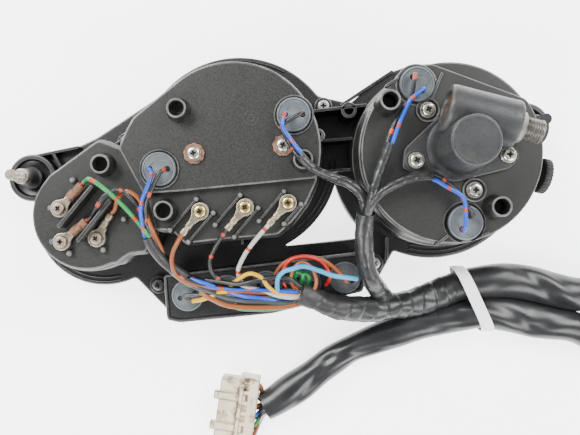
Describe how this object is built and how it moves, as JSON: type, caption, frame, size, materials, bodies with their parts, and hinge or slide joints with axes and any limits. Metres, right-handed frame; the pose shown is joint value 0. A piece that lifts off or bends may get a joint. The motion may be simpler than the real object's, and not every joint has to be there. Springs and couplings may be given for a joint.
{
  "type": "motorcycle instrument cluster",
  "caption": "Motorcycle gauge cluster with round speedometer and tachometer pods, small coolant gauge, lamp tray, angle drive, wiring loom and sleeved lead.",
  "frame": {"origin": "under the middle of the cluster without its loose lead, on the surface that the face-down bezel rests on", "axes": "+X towards the speedometer pod (the rider's left), +Y towards the windscreen side, +Z towards the back of the cluster"},
  "size_m": [0.4351, 0.2328, 0.097],
  "materials": {
    "bezel_plastic": "moulded black plastic, satin",
    "case_plastic": "moulded black plastic, fine texture, satin",
    "clear_lens": "clear polished acrylic",
    "lamp_lens": "smoked acrylic strip over coloured lamp windows",
    "drive_casting": "black painted die casting, worn",
    "aged_brass": "tarnished brass plug with rust stain",
    "plated_steel": "dull plated screw thread",
    "bright_steel": "ground steel",
    "magnet_iron": "sintered magnet on a steel spindle",
    "bare_alloy": "bare die-cast and pressed alloy",
    "drum_white": "moulded number drums",
    "dial_black": "printed matte dial",
    "needle_orange": "moulded orange pointer with black hub",
    "soft_rubber": "moulded black rubber",
    "holder_rubber": "grey-blue moulded rubber",
    "loom_tape": "black vinyl tape over coloured PVC leads",
    "pvc_sleeve": "soft glossy black PVC tube",
    "tie_white": "white vinyl tie",
    "connector_nylon": "aged cream nylon",
    "plated_screw": "yellowed zinc plate",
    "black_screw": "blackened steel",
    "fibre_washer": "tan fibre washer under a zinc pan head",
    "tinned_brass": "tarnished tinned brass eye, brass pan head",
    "aged_steel": "stained steel stud"
  },
  "bodies": {
    "housing": {"front_bezel": "bezel_plastic", "main_housing": "case_plastic", "tach_rear_case": "case_plastic", "speedo_rear_case": "case_plastic", "speedo_lens": "clear_lens", "tach_lens": "clear_lens", "temp_lens": "clear_lens", "indicator_lens": "lamp_lens", "drive_housing": "drive_casting", "drive_end_plug": "aged_brass", "cable_spigot": "plated_steel", "speedo_frame": "bare_alloy", "speedo_dial": "dial_black", "tach_dial": "dial_black", "temp_dial": "dial_black", "tach_movement": "bare_alloy", "temp_movement": "bare_alloy", "wiring_loom": "loom_tape", "harness_sleeve": "pvc_sleeve", "tie_band": "tie_white", "connector": "connector_nylon", "bulb_holder_tach_left": "holder_rubber", "bulb_holder_tach_right": "holder_rubber", "bulb_holder_speedo_top": "holder_rubber", "bulb_holder_speedo_bottom": "holder_rubber", "bulb_holder_tray_1": "holder_rubber", "bulb_holder_tray_2": "holder_rubber", "bulb_holder_tray_3": "holder_rubber", "bulb_holder_tray_4": "holder_rubber", "bulb_holder_tray_5": "holder_rubber", "frame_screw_1": "plated_screw", "drive_screw_1": "plated_screw", "tach_screw_1": "fibre_washer", "frame_screw_2": "plated_screw", "drive_screw_2": "plated_screw", "tach_screw_2": "fibre_washer", "case_screw_1": "black_screw", "case_screw_2": "black_screw", "case_screw_3": "black_screw", "case_screw_4": "black_screw", "ring_terminal_1": "tinned_brass", "ring_terminal_2": "tinned_brass", "ring_terminal_3": "tinned_brass", "ring_terminal_4": "tinned_brass", "ring_terminal_5": "tinned_brass", "ring_terminal_6": "tinned_brass", "mounting_stud_left": "aged_steel", "stud_sleeve_left": "soft_rubber", "mounting_stud_right": "aged_steel", "stud_sleeve_right": "soft_rubber"},
    "speedo_pointer": {"speedo_needle": "needle_orange", "speed_cup": "bare_alloy"},
    "tach_pointer": {"tach_needle": "needle_orange"},
    "temp_pointer": {"temp_needle": "needle_orange"},
    "cable_drive": {"drive_input_shaft": "bright_steel"},
    "magnet_spindle": {"drive_magnet": "magnet_iron"},
    "odometer": {"odometer_drums": "drum_white"},
    "trip_meter": {"trip_drums": "drum_white"},
    "trip_reset": {"reset_knob": "soft_rubber", "reset_shaft": "bright_steel"}
  },
  "joints": [
    {"name": "speedo_pointer_swing", "type": "hinge", "parent": "housing", "child": "speedo_pointer", "pos_m": [0.09225, 0.0188, 0.01], "axis": [0, 0, 1], "range_deg": [0, 255]},
    {"name": "tach_pointer_swing", "type": "hinge", "parent": "housing", "child": "tach_pointer", "pos_m": [-0.02375, 0.019, 0.01], "axis": [0, 0, 1], "range_deg": [0, 240]},
    {"name": "temp_pointer_swing", "type": "hinge", "parent": "housing", "child": "temp_pointer", "pos_m": [-0.10375, -0.016, 0.01], "axis": [0, 0, 1], "range_deg": [0, 90]},
    {"name": "cable_drive_turn", "type": "hinge", "parent": "housing", "child": "cable_drive", "pos_m": [0.08215, 0.0364, 0.079], "axis": [0.9676, -0.2525, 0], "continuous": true},
    {"name": "magnet_turn", "type": "hinge", "parent": "housing", "child": "magnet_spindle", "pos_m": [0.09225, 0.0188, 0.079], "axis": [0, 0, 1], "continuous": true},
    {"name": "odometer_turn", "type": "hinge", "parent": "housing", "child": "odometer", "pos_m": [0.08955, 0.0406, 0.0205], "axis": [1, 0, 0], "continuous": true},
    {"name": "trip_meter_turn", "type": "hinge", "parent": "housing", "child": "trip_meter", "pos_m": [0.08955, -0.0045, 0.0205], "axis": [1, 0, 0], "continuous": true},
    {"name": "trip_reset_turn", "type": "hinge", "parent": "housing", "child": "trip_reset", "pos_m": [0.15005, 0.0065, 0.028], "axis": [0.9801, -0.1987, 0], "continuous": true}
  ],
  "couplings": [
    {"joint": "magnet_turn", "follows": "cable_drive_turn", "ratio": 1},
    {"joint": "odometer_turn", "follows": "cable_drive_turn", "ratio": 0.000714},
    {"joint": "trip_meter_turn", "follows": "trip_reset_turn", "ratio": 1}
  ]
}
